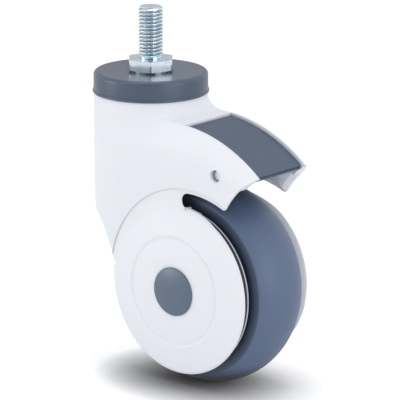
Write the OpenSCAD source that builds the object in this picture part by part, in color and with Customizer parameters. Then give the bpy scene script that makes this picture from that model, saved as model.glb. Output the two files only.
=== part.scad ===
// Threaded stem castor with a moulded hood: the ground is at height 0 while the pieces are
// shaped, and the whole castor is lowered at the end so that its frame starts on the stem,
// at the face of the hexagon that meets what the castor is screwed into.
// X points the way the wheel trails, Y runs along the axle and Z points up the stem.

/* [Castor] */
// Height from the ground to the seating face of the hexagon
stem_face_h = 155; // [152:0.5:160]
// Distance of the wheel axle behind the swivel axis
trail = 38; // [36:0.5:41]

/* [Stem] */
// Thread diameter of the stem
thread_d = 12; // [10:1:14]
// Length of the threaded stem above the hexagon
thread_len = 25.5; // [15:0.5:60]
// Chamfer at the tip of the stem
thread_chamfer = 0.9; // [0.5:0.1:2]
// Width of the hexagon across its flats
hex_af = 21; // [19:0.5:24]
// Height of the hexagon
hex_h = 5.2; // [4:0.2:8]
// Turn of the hexagon about the stem
hex_turn = 11; // [0:1:60]
// Diameter of the round shoulder under the hexagon
shoulder_d = 19; // [19:0.5:20]
// Diameter of the retaining thread at the lower end
tail_d = 12; // [10:1:14]

/* [Swivel bearings] */
// Bore of the upper swivel bearing
upper_bore = 17; // [15.5:0.5:17.5]
// Outside diameter of the upper swivel bearing
upper_od = 40; // [37:0.5:42]
// Width of the upper swivel bearing
upper_w = 12; // [10:0.5:12]
// Bore of the lower swivel bearing
lower_bore = 15; // [14.5:0.5:15.5]
// Outside diameter of the lower swivel bearing
lower_od = 35; // [32:0.5:36]
// Width of the lower swivel bearing
lower_w = 11; // [9:0.5:12]
// Wall of the tube between the two inner rings
spacer_wall = 2.2; // [1.5:0.1:3]
// Thickness of the washer under the lower bearing
washer_t = 1.5; // [1:0.1:2]
// Height of the retaining nut
nut_h = 5.5; // [4:0.1:5.8]
// Width of the retaining nut across its flats
nut_af = 19; // [17:0.5:20]

/* [Top cap] */
// Radius of the cap at its lower edge
cap_r = 28.4; // [28:0.1:29.5]
// Height of the cap
cap_h = 10.3; // [9:0.1:11]
// Draw of the cap side between its lower and upper edge
cap_draft = 0.3; // [0.1:0.05:0.8]
// Rounding of the upper edge of the cap
cap_round = 1.2; // [0.6:0.1:2]
// Height of the thin lip at the lower edge of the cap
cap_lip_h = 1.1; // [0.6:0.1:1.6]
// Wall of the cap
cap_wall = 2.4; // [1.8:0.1:2.6]
// Gap between the top of the cap and the hexagon
cap_gap = 0.9; // [0.6:0.1:1.5]

/* [Housing] */
// Radius of the round neck
neck_r = 27.75; // [27:0.05:27.9]
// Half width of the hood at the swivel axis
hood_root_w = 27.4; // [26.8:0.1:27.4]
// Half width of the hood at its mouth
hood_tip_w = 25.4; // [24.5:0.1:26.4]
// Radius of the crest of the hood
crest_r = 80.6; // [79.5:0.1:81.5]
// Half width of the flat crest of the hood
crest_w = 18; // [17.8:0.1:18.4]
// Radius of the rounded shoulders of the hood
shoulder_r = 29.5; // [28:0.5:32]
// Radius of the hollow cut at the mouth of the hood
mouth_r = 46; // [44:0.5:48]
// Radius of the hollow back of the housing
back_r = 96; // [92:1:100]
// Rounding of the back edges of the housing
back_round = 1.6; // [1:0.1:2.4]
// Fillet between the neck and the hood
neck_fillet = 3; // [2:0.5:6]
// Radius of the round step on the cheeks
step_r = 50.3; // [49.5:0.1:51]
// Depth of the round step on the cheeks
step_depth = 0.35; // [0.2:0.05:0.6]
// Half width over the cheeks at the round step
cheek_w = 23.2; // [22.8:0.1:23.6]
// Outward lean of the cheeks beyond the step, as a slope
cheek_slope = 0.21; // [0.18:0.01:0.24]
// Radius of the round cheek discs
disc_r = 41.6; // [40.6:0.1:42]
// Rounding of the free edge of the cheek discs
disc_round = 5; // [3.5:0.5:6]
// Depth of the hollow behind the free edge of the cheek discs
disc_hollow = 2.7; // [2:0.1:3]
// Half width over the middle of the cheek discs
disc_w = 27.2; // [26.8:0.1:27.4]
// Middle radius of the ring groove in the cheek discs
groove_r = 26.35; // [25:0.1:30]
// Width of the ring groove
groove_w = 2.9; // [2:0.1:3.5]
// Depth of the ring groove
groove_depth = 0.5; // [0.3:0.05:0.8]
// Half width of the wheel well between the cheeks
well_w = 20; // [19.6:0.1:20.4]
// Gap between the tread and the wheel well
well_gap = 3; // [2.5:0.1:3.4]
// Radius of the upper side of the slot over the cheek disc
slot_r = 52.7; // [52.2:0.1:53.2]
// Radius of the rounded prong between the slot and the mouth
prong_r = 2.2; // [1.5:0.1:2.6]

/* [Wheel] */
// Diameter of the wheel
wheel_d = 100; // [99:0.5:101]
// Width of the tyre
wheel_w = 32; // [30:0.5:32.5]
// Radius of the crown across the tread
crown_r = 25.2; // [24:0.1:30]
// Radius of the tyre where it meets the wheel centre
rim_r = 37; // [35:0.5:38]
// Thickness of the rim of the wheel centre
rim_t = 5; // [4:0.5:6]
// Thickness of the web of the wheel centre
web_t = 6; // [4:0.5:8]
// Radius of the hub of the wheel centre
hub_r = 15; // [14:0.5:17]
// Number of ribs on each side of the web
rib_n = 8; // [5:1:10]
// Thickness of each rib
rib_t = 2; // [1.5:0.1:3]
// Bore of the wheel bearings
axle_d = 8; // [7:0.5:8.5]
// Outside diameter of the wheel bearings
wheel_bearing_od = 22; // [20:0.5:24]
// Width of the wheel bearings
wheel_bearing_w = 7; // [6:0.5:8]
// Radius of the thread guards beside the wheel
guard_r = 39.6; // [38:0.1:40.5]
// Thickness of the thread guards
guard_t = 1.3; // [1:0.1:1.6]
// Radius of the domed axle caps
axle_cap_r = 11.9; // [11.4:0.1:13]
// Height of the edge of the axle caps over the cheek
axle_cap_edge = 0.7; // [0.5:0.1:1.2]
// Rise of the dome of the axle caps
axle_cap_rise = 1.4; // [1:0.1:2]
// Width of the axle head and nut across the flats
axle_af = 13; // [12:0.5:13.5]
// Height of the axle head and nut
axle_head_h = 4; // [3.5:0.1:4]

/* [Cover] */
// Half width of the cover plate in the hood
cover_w = 16.6; // [15.5:0.1:16.8]
// Radius of the face of the cover, seen from the side
cover_r = 84.3; // [84:0.1:84.6]
// Thickness of the cover plate
cover_t = 1.8; // [1.6:0.1:2.4]
// Bevel along the front lip of the cover
cover_bevel = 0.8; // [0.4:0.1:1]
// Rounding of the front corners of the cover
cover_corner_r = 1.8; // [1:0.1:2.5]
// Ledge of the hood under the back edge of the cover
cover_ledge = 4; // [2:0.5:6]
// Thickness of the ribs under the cover
cover_rib_t = 2; // [1.5:0.1:2.5]
// Diameter of the cross pin that holds the cover
pin_d = 6; // [5:0.5:6.5]
// Length of the cross pin
pin_len = 44; // [41:0.5:46]

/* [Fits] */
// Radial clearance of pressed and clamped round pieces
press_gap = 0.01; // [0.01:0.005:0.02]
// Radial clearance of turning round pieces
turn_gap = 0.06; // [0.04:0.01:0.1]
// Clearance between pieces that pass each other
free_gap = 0.4; // [0.3:0.05:0.5]

/* [Hidden] */
$fn = 96;

white = "#E9ECF3";
slate = "#6A7382";
tyre_grey = "#5B677C";
dark_grey = "#4C505C";
steel = "#C3CBD2";
core_grey = "#8B9099";

// Heights above the ground on the swivel axis, from the top down
wheel_r = wheel_d / 2;
axle_z = wheel_r;
hex_z = stem_face_h - hex_h;
cap_top = hex_z - cap_gap;
neck_top = cap_top - cap_h;
spigot_h = 5;
cap_floor = 1.9;
upper_top = neck_top + cap_floor;
upper_z = upper_top - upper_w;
well_r = wheel_r + well_gap;
// The nut is the lowest turned piece over the wheel, so it sets the lower bearing
nut_corner = nut_af / 2 / cos(30);
nut_z = axle_z + sqrt(pow(well_r, 2) - pow(trail - nut_corner, 2)) + 0.4;
washer_z = nut_z + nut_h;
lower_z = washer_z + washer_t;
lower_top = lower_z + lower_w;
tail_z = nut_z - 1.5;

// Centres of the round forms of the housing, seen along the axle, from the wheel axle
crest_c = [trail - 6.8, axle_z - 0.3];
step_c = [trail + 6.2, axle_z + 0.3];
slot_c = [trail + 6.3, axle_z - 4];
mouth_c = [trail + 69.3, axle_z + 22];
back_c = [trail - 134, axle_z - 22.1];
slot_end_r = 3.7;
slot_end_x = trail + 5.6;
slot_end_z = slot_c[1] + sqrt(pow(slot_r - slot_end_r, 2) - pow(slot_end_x - slot_c[0], 2));
back_edge_w = cheek_w + 0.4;
pin_at = [trail + 23.8, axle_z + 60.5];
cover_c = [trail - 9.6, axle_z - 5];
cover_back = trail - 1;
cover_end_angle = 51.1;
cover_under_r = cover_r - cover_t;
pocket_back = cover_back - free_gap;
channel_w = cover_w + free_gap;
roof_r = crest_r - 7;
bay_x = trail - 5;
bevel_x = trail + 12;
mouth_rim_w = cheek_w - 0.6;
shoulder_mid_r = 59;
shoulder_c = [shoulder_mid_r, crest_w - sqrt(pow(shoulder_r, 2) - pow(crest_r - shoulder_mid_r, 2))];
far = 200;
// Round cuts reach this much over the faces they would otherwise only touch
cross_by = 0.04;

// Cheek discs and their middle
disc_slope = 0.31;
disc_flat_r = groove_r + groove_w / 2;
disc_bend_r = disc_r - disc_round * (sin(45) - sin(atan(disc_slope)));
disc_bend = [disc_bend_r, disc_w - disc_slope * (disc_bend_r - disc_flat_r)];
root_slope = 0.15;
head_seat = disc_w - 3.5;
plug_r = axle_cap_r - 1.5;
hub_w = wheel_w / 2 + 1;

// The point where two circles meet, the one on the left of the way from the first to the second
function meet(c1, r1, c2, r2) =
    let (d = norm(c2 - c1),
         a = (r1 * r1 - r2 * r2 + d * d) / (2 * d),
         h = sqrt(max(0, r1 * r1 - a * a)),
         u = (c2 - c1) / d)
    c1 + a * u + h * [-u[1], u[0]];

module lowered() {
    translate([0, 0, -stem_face_h]) children();
}

// Stands a flat outline, drawn as seen from the near side, across the castor
module across(w) {
    rotate([90, 0, 0]) linear_extrude(height = 2 * w, center = true) children();
}

// Turns a profile, given as radius and width, about an axle at a point of the side view
module about_axle(c) {
    translate([c[0], 0, c[1]]) rotate([90, 0, 0]) rotate_extrude() children();
}

// A flat outline and its mirror image on the other side of the middle
module on_both_sides() {
    children();
    mirror([0, 1]) children();
}

module on_circle(c, r) {
    translate(c) circle(r);
}

// The two rings of a ball bearing share one raceway
module race_ring(r_in, r_out, w, track_r, ball_r) {
    rotate_extrude() difference() {
        translate([r_in, 0]) square([r_out - r_in, w]);
        translate([track_r, w / 2]) circle(ball_r);
    }
}

function race_mid(bore, od) = (bore + od) / 4;
function race_ball(bore, od) = 0.27 * (od - bore) / 2;

module inner_ring(bore, od, w) {
    ball = race_ball(bore, od);
    race_ring(bore / 2, race_mid(bore, od) - 0.45 * ball, w, race_mid(bore, od), ball + turn_gap);
}

module outer_ring(bore, od, w) {
    ball = race_ball(bore, od);
    race_ring(race_mid(bore, od) + 0.45 * ball, od / 2, w, race_mid(bore, od), ball + turn_gap);
}

module ball_set(bore, od, w) {
    mid = race_mid(bore, od);
    ball = race_ball(bore, od);
    count = floor(0.8 * 180 / asin(ball / mid));
    for (i = [0 : count - 1])
        rotate([0, 0, 360 * i / count]) translate([mid, 0, w / 2]) sphere(ball, $fn = 32);
}

module threaded_stem() {
    color(steel) lowered() {
        rotate([0, 0, hex_turn]) hexagon_prism(hex_z, hex_h);
        rotate_extrude() polygon([
            [0, tail_z],
            [tail_d / 2 - 1, tail_z],
            [tail_d / 2, tail_z + 1],
            [tail_d / 2, lower_z + 0.6],
            [lower_bore / 2 - press_gap, lower_z + 0.6],
            [lower_bore / 2 - press_gap, lower_top],
            [upper_bore / 2 - press_gap, lower_top],
            [upper_bore / 2 - press_gap, upper_top],
            [shoulder_d / 2, upper_top],
            [shoulder_d / 2, hex_z + 1],
            [thread_d / 2, hex_z + 1],
            [thread_d / 2, stem_face_h + thread_len - thread_chamfer],
            [thread_d / 2 - thread_chamfer, stem_face_h + thread_len],
            [0, stem_face_h + thread_len]
        ]);
    }
}

// A hexagon with its corners turned off at the top, as a bar end is faced
module hexagon_prism(z, h) {
    corner = hex_af / 2 / cos(30);
    face_cut = 0.5;
    intersection() {
        translate([0, 0, z]) cylinder(h = h, r = corner, $fn = 6);
        translate([0, 0, z - 1]) rotate_extrude() polygon([
            [0, 0],
            [corner + 1, 0],
            [corner + 1, h + 1 - face_cut],
            [corner - 0.9, h + 1],
            [0, h + 1]
        ]);
    }
}

module top_cap() {
    lip_step = 0.2;
    top_r = cap_r - cap_draft - lip_step;
    color(slate) lowered() difference() {
        union() {
            translate([0, 0, neck_top]) rotate_extrude() polygon([
                [0, 0],
                [cap_r, 0],
                [cap_r, cap_lip_h - lip_step],
                [cap_r - lip_step, cap_lip_h],
                [top_r, cap_h - cap_round],
                [top_r - cap_round, cap_h - cap_round],
                [top_r - cap_round, cap_h],
                [0, cap_h]
            ]);
            rotate_extrude() translate([top_r - cap_round, cap_top - cap_round])
                intersection() {
                    circle(cap_round);
                    square(cap_round + 1);
                }
        }
        translate([0, 0, neck_top - 1]) cylinder(h = spigot_h + 1.4, r = cap_inner_r());
        translate([0, 0, neck_top - 1]) cylinder(h = far, r = shoulder_d / 2 + free_gap);
    }
}

function cap_inner_r() = cap_r - cap_draft - cap_wall;

// Side view of the neck with its hollow back, down to the cheek discs
module neck_outline() {
    difference() {
        translate([-neck_r - 5, axle_z]) square([neck_r + trail + 5, neck_top - axle_z]);
        on_circle(back_c, back_r);
    }
}

// Side view of the hood, between the neck and its hollow mouth
module hood_outline() {
    tip = meet(slot_c, slot_r + prong_r, mouth_c, mouth_r + prong_r);
    difference() {
        translate([0, axle_z]) square([trail + 60, far]);
        on_circle(mouth_c, mouth_r);
        prong_corner(tip);
    }
}

// What is taken off to round the prong
module prong_corner(tip) {
    toward_mouth = tip + prong_r * (mouth_c - tip) / norm(mouth_c - tip);
    toward_slot = tip + prong_r * (slot_c - tip) / norm(slot_c - tip);
    reach = tip + 3 * prong_r * (toward_mouth + toward_slot - 2 * tip)
        / norm(toward_mouth + toward_slot - 2 * tip);
    difference() {
        polygon([tip, toward_mouth, reach, toward_slot]);
        on_circle(tip, prong_r + cross_by);
    }
}

// The slot between the hood and the free part of the cheek disc
module slot_outline() {
    disc_overlap = 0.6;
    difference() {
        union() {
            intersection() {
                on_circle(slot_c, slot_r);
                translate([slot_end_x, 0]) square([far, far]);
            }
            on_circle([slot_end_x, slot_end_z], slot_end_r);
        }
        on_circle([trail, axle_z], disc_r - disc_overlap);
    }
}

// The cheeks lean outward beyond the round step
module cheek_lean() {
    reach = 130;
    about_axle(step_c) polygon([
        [0, -cheek_w + step_depth],
        [step_r, -cheek_w + step_depth],
        [step_r, -cheek_w],
        [reach, -cheek_w - cheek_slope * (reach - step_r)],
        [reach, cheek_w + cheek_slope * (reach - step_r)],
        [step_r, cheek_w],
        [step_r, cheek_w - step_depth],
        [0, cheek_w - step_depth]
    ]);
}

// The hood across its width: a flat crest between two large round shoulders
module hood_section() {
    about_axle(crest_c) intersection() {
        translate([0, -hood_root_w - 1]) square([crest_r, 2 * hood_root_w + 2]);
        union() {
            translate([0, -hood_root_w - 1]) square([shoulder_c[0], 2 * hood_root_w + 2]);
            shoulder_lens(shoulder_c);
        }
    }
}

// Two circles that share the form of the shoulders, one for each side
module shoulder_lens(c) {
    intersection() {
        translate([c[0], c[1]]) circle(shoulder_r);
        translate([c[0], -c[1]]) circle(shoulder_r);
        translate([0, -far]) square([far, 2 * far]);
    }
}

// The hood from above, a little narrower at its mouth than at the neck
module hood_plan() {
    mouth_x = trail + 47;
    translate([0, 0, axle_z]) linear_extrude(height = far) polygon([
        [0, -hood_root_w],
        [mouth_x, -hood_tip_w],
        [mouth_x, hood_tip_w],
        [0, hood_root_w]
    ]);
}

module neck_body() {
    intersection() {
        across(far) neck_outline();
        translate([0, 0, axle_z]) cylinder(h = neck_top - axle_z, r = neck_r);
        cheek_lean();
    }
}

module hood_body() {
    intersection() {
        across(far) hood_outline();
        hood_plan();
        hood_section();
        cheek_lean();
    }
}

// The fillet is turned about the neck and fades out over the shoulders of the hood
module neck_to_hood() {
    z = crest_c[1] + sqrt(pow(crest_r, 2) - pow(neck_r - crest_c[0], 2));
    sink = 10;
    lift = neck_fillet + 0.4;
    intersection() {
        rotate_extrude() difference() {
            translate([neck_r - 1, z - sink]) square([neck_fillet + 1, neck_fillet + sink]);
            translate([neck_r + neck_fillet - cross_by, z + neck_fillet - cross_by]) circle(neck_fillet);
        }
        about_axle(crest_c) shoulder_lens([shoulder_c[0] + lift, shoulder_c[1] - 0.75 * lift]);
        translate([0, -far, axle_z]) cube([far, 2 * far, far]);
    }
}

// Rounding of the back edges, turned about the middle of the hollow back
module back_rounding() {
    about_axle(back_c) on_both_sides() difference() {
        translate([back_r - 1, back_edge_w - back_round]) square([back_round + 1, 20]);
        translate([back_r + back_round, back_edge_w - back_round]) circle(back_round);
    }
}

// The face of a cheek disc is a flat cone; its free edge rounds off and is hollowed behind
module free_disc_profile() {
    steps = 6;
    lean = atan(disc_slope);
    middle = disc_bend - disc_round * [sin(lean), cos(lean)];
    on_both_sides() polygon(concat(
        [
            [0, 0],
            [disc_r - disc_hollow, 0],
            [disc_r - disc_hollow, well_w],
            [disc_r, well_w + 0.7 * disc_hollow]
        ],
        [for (i = [steps : -1 : 0])
            let (a = lean + (45 - lean) * i / steps)
            middle + disc_round * [sin(a), cos(a)]],
        [
            [disc_flat_r, disc_w],
            [groove_r, disc_w - groove_depth],
            [groove_r - groove_w / 2, disc_w],
            [0, disc_w]
        ]
    ));
}

// Where the disc is rooted in the cheek it runs on as a flatter cone, from just outside the groove
module root_profile() {
    low_w = cheek_w - step_depth - 1;
    reach = disc_bend[0] + (disc_bend[1] - low_w) / root_slope;
    start = disc_flat_r + 1;
    on_both_sides() polygon([
        [0, 0],
        [reach, 0],
        [reach, low_w],
        [start, disc_bend[1] + root_slope * (disc_bend[0] - start)],
        [start, low_w],
        [0, low_w]
    ]);
}

module cheek_discs() {
    about_axle([trail, axle_z]) free_disc_profile();
}

// Behind the slot the cone of the disc runs on into the cheek
module disc_root() {
    intersection() {
        about_axle([trail, axle_z]) root_profile();
        across(far) difference() {
            translate([-neck_r, axle_z + 5.2]) square([neck_r + trail + 4, disc_r + 10]);
            on_circle(back_c, back_r);
            slot_outline();
        }
    }
}

// The hollow under the hood, wider towards the wheel, and the pocket that takes the cover
module bay() {
    waist_w = 18.4;
    intersection() {
        about_axle(crest_c)
            both_sides([[roof_r - 13.6, well_w], [roof_r - 8.6, waist_w], [roof_r, waist_w - 1.2], [roof_r, 0]]);
        translate([bay_x, -far, axle_z]) cube([far, 2 * far, far]);
    }
    intersection() {
        translate([pocket_back, -channel_w, axle_z]) cube([far, 2 * channel_w, far]);
        about_axle(cover_c) translate([cover_under_r, -far]) square([far, 2 * far]);
    }
    intersection() {
        translate([pocket_back + cover_ledge, -channel_w, axle_z]) cube([far, 2 * channel_w, far]);
        about_axle(crest_c) translate([roof_r - 5, -far]) square([far, 2 * far]);
    }
    // The inner edge of the mouth is bevelled too, so that its walls end in a thin rim
    intersection() {
        about_axle(mouth_c) both_sides([
            [mouth_r - 1, mouth_rim_w + 0.9],
            [mouth_r + 2.5, mouth_rim_w - 2.2],
            [mouth_r + 14, waist_w - 1.5],
            [mouth_r + 14, 0]
        ]);
        about_axle(crest_c) translate([0, -far]) square([roof_r - 2.6, 2 * far]);
    }
    // So is the closed end of the slot
    difference() {
        about_axle([slot_end_x, slot_end_z]) both_sides([
            [slot_end_r - 1, cheek_w - 0.2],
            [slot_end_r + 3.4, well_w - 0.5],
            [slot_end_r + 3.4, 0]
        ]);
        about_axle([trail, axle_z]) translate([0, -far]) square([disc_r + 0.5, 2 * far]);
    }
    // The inner edge over the slot is bevelled down to the prongs
    intersection() {
        about_axle(slot_c) both_sides([[slot_r, cheek_w - 0.7], [slot_r + 5, well_w - 1.5], [slot_r + 5, 0]]);
        translate([bevel_x, -far, axle_z]) cube([far, 2 * far, far]);
    }
}

// A profile given for one side of the middle, as radius and half width, drawn on both
module both_sides(points) {
    n = len(points);
    polygon(concat(
        [[0, -points[0][1]]],
        [for (p = points) [p[0], -p[1]]],
        [for (i = [n - 2 : -1 : 0]) points[i]],
        [[0, points[0][1]]]
    ));
}

module spigot() {
    translate([0, 0, neck_top - 2]) cylinder(h = spigot_h + 2, r = cap_inner_r() - press_gap);
}

// Both swivel bearings go in from the top, the smaller one through the larger seat
module bearing_seats() {
    translate([0, 0, upper_z]) cylinder(h = far, r = upper_od / 2 + press_gap);
    translate([0, 0, lower_z]) cylinder(h = far, r = lower_od / 2 + press_gap);
    translate([0, 0, axle_z + 10]) cylinder(h = far, r = nut_corner + 1.5);
}

// Axle bore with a seat for the head on one side and the nut on the other
module axle_bore() {
    about_axle([trail, axle_z]) polygon([
        [0, -far],
        [plug_r + press_gap, -far],
        [plug_r + press_gap, -head_seat],
        [axle_d / 2 + press_gap, -head_seat],
        [axle_d / 2 + press_gap, head_seat],
        [plug_r + press_gap, head_seat],
        [plug_r + press_gap, far],
        [0, far]
    ]);
}

module pin_bore() {
    translate([pin_at[0], 0, pin_at[1]]) rotate([90, 0, 0])
        cylinder(h = far, r = pin_d / 2 + press_gap, center = true);
}

module housing() {
    color(white) lowered() difference() {
        union() {
            difference() {
                union() {
                    neck_body();
                    hood_body();
                    neck_to_hood();
                }
                back_rounding();
                across(far) slot_outline();
                bay();
            }
            difference() {
                disc_root();
                back_rounding();
            }
            cheek_discs();
            spigot();
        }
        about_axle([trail, axle_z]) translate([0, -well_w]) square([well_r, 2 * well_w]);
        bearing_seats();
        axle_bore();
        pin_bore();
    }
}

module upper_inner_ring() {
    color(steel) lowered() translate([0, 0, upper_z]) inner_ring(upper_bore, upper_od, upper_w);
}

module upper_outer_ring() {
    color(steel) lowered() translate([0, 0, upper_z]) outer_ring(upper_bore, upper_od, upper_w);
}

module upper_balls() {
    color(steel) lowered() translate([0, 0, upper_z]) ball_set(upper_bore, upper_od, upper_w);
}

module lower_inner_ring() {
    color(steel) lowered() translate([0, 0, lower_z]) inner_ring(lower_bore, lower_od, lower_w);
}

module lower_outer_ring() {
    color(steel) lowered() translate([0, 0, lower_z]) outer_ring(lower_bore, lower_od, lower_w);
}

module lower_balls() {
    color(steel) lowered() translate([0, 0, lower_z]) ball_set(lower_bore, lower_od, lower_w);
}

module swivel_spacer() {
    color(steel) lowered() translate([0, 0, lower_top]) difference() {
        cylinder(h = upper_z - lower_top, r = upper_bore / 2 + spacer_wall);
        translate([0, 0, -1]) cylinder(h = far, r = upper_bore / 2 + press_gap);
    }
}

module swivel_washer() {
    color(steel) lowered() translate([0, 0, washer_z]) difference() {
        cylinder(h = washer_t, r = nut_corner + 0.4);
        translate([0, 0, -1]) cylinder(h = far, r = tail_d / 2 + press_gap);
    }
}

module swivel_nut() {
    color(steel) lowered() translate([0, 0, nut_z]) difference() {
        cylinder(h = nut_h, r = nut_corner, $fn = 6);
        translate([0, 0, -1]) cylinder(h = far, r = tail_d / 2 + press_gap);
    }
}

// Everything on the wheel is turned about the axle, with its profile given as radius and width
module turned() {
    about_axle([trail, axle_z]) children();
}

module tyre() {
    color(tyre_grey) lowered() turned() difference() {
        intersection() {
            translate([wheel_r - crown_r, 0]) circle(crown_r, $fn = 128);
            translate([0, -wheel_w / 2]) square([wheel_r + 1, wheel_w]);
        }
        translate([-1, -far]) square([rim_r + 1, 2 * far]);
    }
}

module wheel_centre() {
    rim_w = wheel_w / 2 - 2;
    seat = hub_w - wheel_bearing_w;
    color(core_grey) lowered() difference() {
        union() {
            turned() polygon([
                [0, -hub_w],
                [hub_r, -hub_w],
                [hub_r, -web_t / 2],
                [rim_r - rim_t, -web_t / 2],
                [rim_r - rim_t, -rim_w],
                [rim_r - press_gap, -rim_w],
                [rim_r - press_gap, rim_w],
                [rim_r - rim_t, rim_w],
                [rim_r - rim_t, web_t / 2],
                [hub_r, web_t / 2],
                [hub_r, hub_w],
                [0, hub_w]
            ]);
            for (i = [0 : rib_n - 1])
                translate([trail, 0, axle_z]) rotate([0, 360 * (i + 0.5) / rib_n, 0])
                    translate([hub_r - 1, -rim_w + 1, -rib_t / 2])
                        cube([rim_r - rim_t - hub_r + 2, 2 * rim_w - 2, rib_t]);
        }
        turned() polygon([
            [0, -far],
            [wheel_bearing_od / 2 + press_gap, -far],
            [wheel_bearing_od / 2 + press_gap, -seat],
            [wheel_bearing_od / 2 - 2, -seat],
            [wheel_bearing_od / 2 - 2, seat],
            [wheel_bearing_od / 2 + press_gap, seat],
            [wheel_bearing_od / 2 + press_gap, far],
            [0, far]
        ]);
    }
}

// A pair of wheel bearing parts, one at each end of the hub
module at_both_bearings() {
    for (side = [-1, 1])
        translate([trail, side * (hub_w - wheel_bearing_w / 2), axle_z]) rotate([90, 0, 0])
            translate([0, 0, -wheel_bearing_w / 2]) children();
}

module wheel_outer_rings() {
    color(steel) lowered() at_both_bearings() outer_ring(axle_d, wheel_bearing_od, wheel_bearing_w);
}

module wheel_inner_rings() {
    color(steel) lowered() at_both_bearings() inner_ring(axle_d, wheel_bearing_od, wheel_bearing_w);
}

module wheel_balls() {
    color(steel) lowered() at_both_bearings() ball_set(axle_d, wheel_bearing_od, wheel_bearing_w);
}

module axle_spacer() {
    half = hub_w - wheel_bearing_w;
    color(steel) lowered() turned() translate([axle_d / 2 + press_gap, -half]) square([1.8, 2 * half]);
}

module axle_bolt() {
    corner = axle_af / 2 / cos(30);
    end_gap = 0.2;
    color(steel) lowered() translate([trail, 0, axle_z]) rotate([90, 0, 0]) {
        cylinder(h = 2 * (head_seat + axle_head_h - end_gap), r = axle_d / 2, center = true);
        translate([0, 0, head_seat]) cylinder(h = axle_head_h, r = corner, $fn = 6);
    }
}

module axle_nut() {
    corner = axle_af / 2 / cos(30);
    color(steel) lowered() translate([trail, 0, axle_z]) rotate([-90, 0, 0])
        translate([0, 0, head_seat]) difference() {
            cylinder(h = axle_head_h, r = corner, $fn = 6);
            translate([0, 0, -1]) cylinder(h = far, r = axle_d / 2 + press_gap);
        }
}

// Domed plugs over the axle head and the nut
module axle_caps() {
    edge_y = disc_w + axle_cap_edge;
    ball_r = (pow(axle_cap_r, 2) + pow(axle_cap_rise, 2)) / (2 * axle_cap_rise);
    room_r = axle_af / 2 / cos(30) + 0.2;
    room_top = head_seat + axle_head_h + 0.5;
    color(slate) lowered() turned() on_both_sides() difference() {
        union() {
            translate([0, head_seat + 0.3]) square([plug_r, disc_w - head_seat]);
            translate([0, disc_w]) square([axle_cap_r, axle_cap_edge]);
            intersection() {
                translate([0, edge_y + axle_cap_rise - ball_r]) circle(ball_r, $fn = 128);
                translate([0, edge_y - 0.01]) square([axle_cap_r, axle_cap_rise + 1]);
            }
        }
        translate([-1, 0]) square([room_r + 1, room_top]);
    }
}

// Thin discs that keep threads off the bearings, clamped by their middle
module thread_guards() {
    guard_y = wheel_w / 2 + 1.7;
    color(dark_grey) lowered() turned() on_both_sides() union() {
        translate([axle_d / 2 + press_gap, hub_w]) square([3, well_w - hub_w]);
        translate([axle_d / 2 + press_gap + 2, guard_y]) square([guard_r - axle_d / 2 - 2, guard_t]);
    }
}

// The cover seen from above: straight back edge and rounded front corners
module cover_plan() {
    front_x = cover_c[0] + cover_r * cos(cover_end_angle);
    translate([0, 0, axle_z]) linear_extrude(height = far) union() {
        translate([cover_back, -cover_w]) square([front_x + 5 - cover_back, 2 * cover_w - cover_corner_r]);
        translate([cover_back, -cover_w]) square([front_x - cover_corner_r - cover_back, 2 * cover_w]);
        translate([front_x - cover_corner_r, cover_w - cover_corner_r]) circle(cover_corner_r);
    }
}

// A half plane ahead of a line from the middle of the cover arc, seen from the side
module ahead_of(angle) {
    u = [cos(angle), sin(angle)];
    across(far) polygon([
        cover_c,
        cover_c + far * u,
        cover_c + far * u + far * [u[1], -u[0]],
        cover_c + far * [u[1], -u[0]]
    ]);
}

module cover_plate() {
    bevel_angle = cover_bevel / cover_r * 180 / PI;
    difference() {
        intersection() {
            about_axle(cover_c) translate([cover_under_r, -cover_w]) square([cover_t, 2 * cover_w]);
            cover_plan();
        }
        ahead_of(cover_end_angle);
        difference() {
            ahead_of(cover_end_angle + bevel_angle);
            about_axle(cover_c) translate([0, -far]) square([cover_r - cover_bevel, 2 * far]);
        }
    }
}

// Ribs under the plate and the boss round the cross pin
module cover_ribs() {
    boss_r = pin_d / 2 + 2.5;
    top_r = cover_under_r + 0.3;
    rib_y = cover_w - 1 - cover_rib_t;
    intersection() {
        across(far) polygon([
            cover_c + top_r * [cos(77), sin(77)],
            pin_at + [-boss_r, -1],
            pin_at + [-2, -boss_r],
            pin_at + [2, -boss_r],
            pin_at + [boss_r, -1],
            cover_c + top_r * [cos(57), sin(57)],
            cover_c + (top_r + 1) * [cos(67), sin(67)]
        ]);
        about_axle(cover_c) translate([0, -far]) square([top_r, 2 * far]);
        for (y = [-rib_y - cover_rib_t, -cover_rib_t / 2, rib_y])
            translate([0, y, 0]) cube([far, cover_rib_t, far]);
    }
    translate([pin_at[0], 0, pin_at[1]]) rotate([90, 0, 0])
        cylinder(h = 2 * (cover_w - 1), r = boss_r, center = true);
}

module hood_cover() {
    color(slate) lowered() difference() {
        union() {
            cover_plate();
            cover_ribs();
        }
        pin_bore();
    }
}

module cover_pin() {
    end_chamfer = 0.6;
    color(steel) lowered() translate([pin_at[0], 0, pin_at[1]]) rotate([90, 0, 0]) rotate_extrude() polygon([
        [0, -pin_len / 2],
        [pin_d / 2 - end_chamfer, -pin_len / 2],
        [pin_d / 2, -pin_len / 2 + end_chamfer],
        [pin_d / 2, pin_len / 2 - end_chamfer],
        [pin_d / 2 - end_chamfer, pin_len / 2],
        [0, pin_len / 2]
    ]);
}

threaded_stem();
top_cap();
housing();
upper_inner_ring();
upper_outer_ring();
upper_balls();
lower_inner_ring();
lower_outer_ring();
lower_balls();
swivel_spacer();
swivel_washer();
swivel_nut();
tyre();
wheel_centre();
wheel_outer_rings();
wheel_inner_rings();
wheel_balls();
axle_spacer();
axle_bolt();
axle_nut();
axle_caps();
thread_guards();
hood_cover();
cover_pin();
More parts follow.
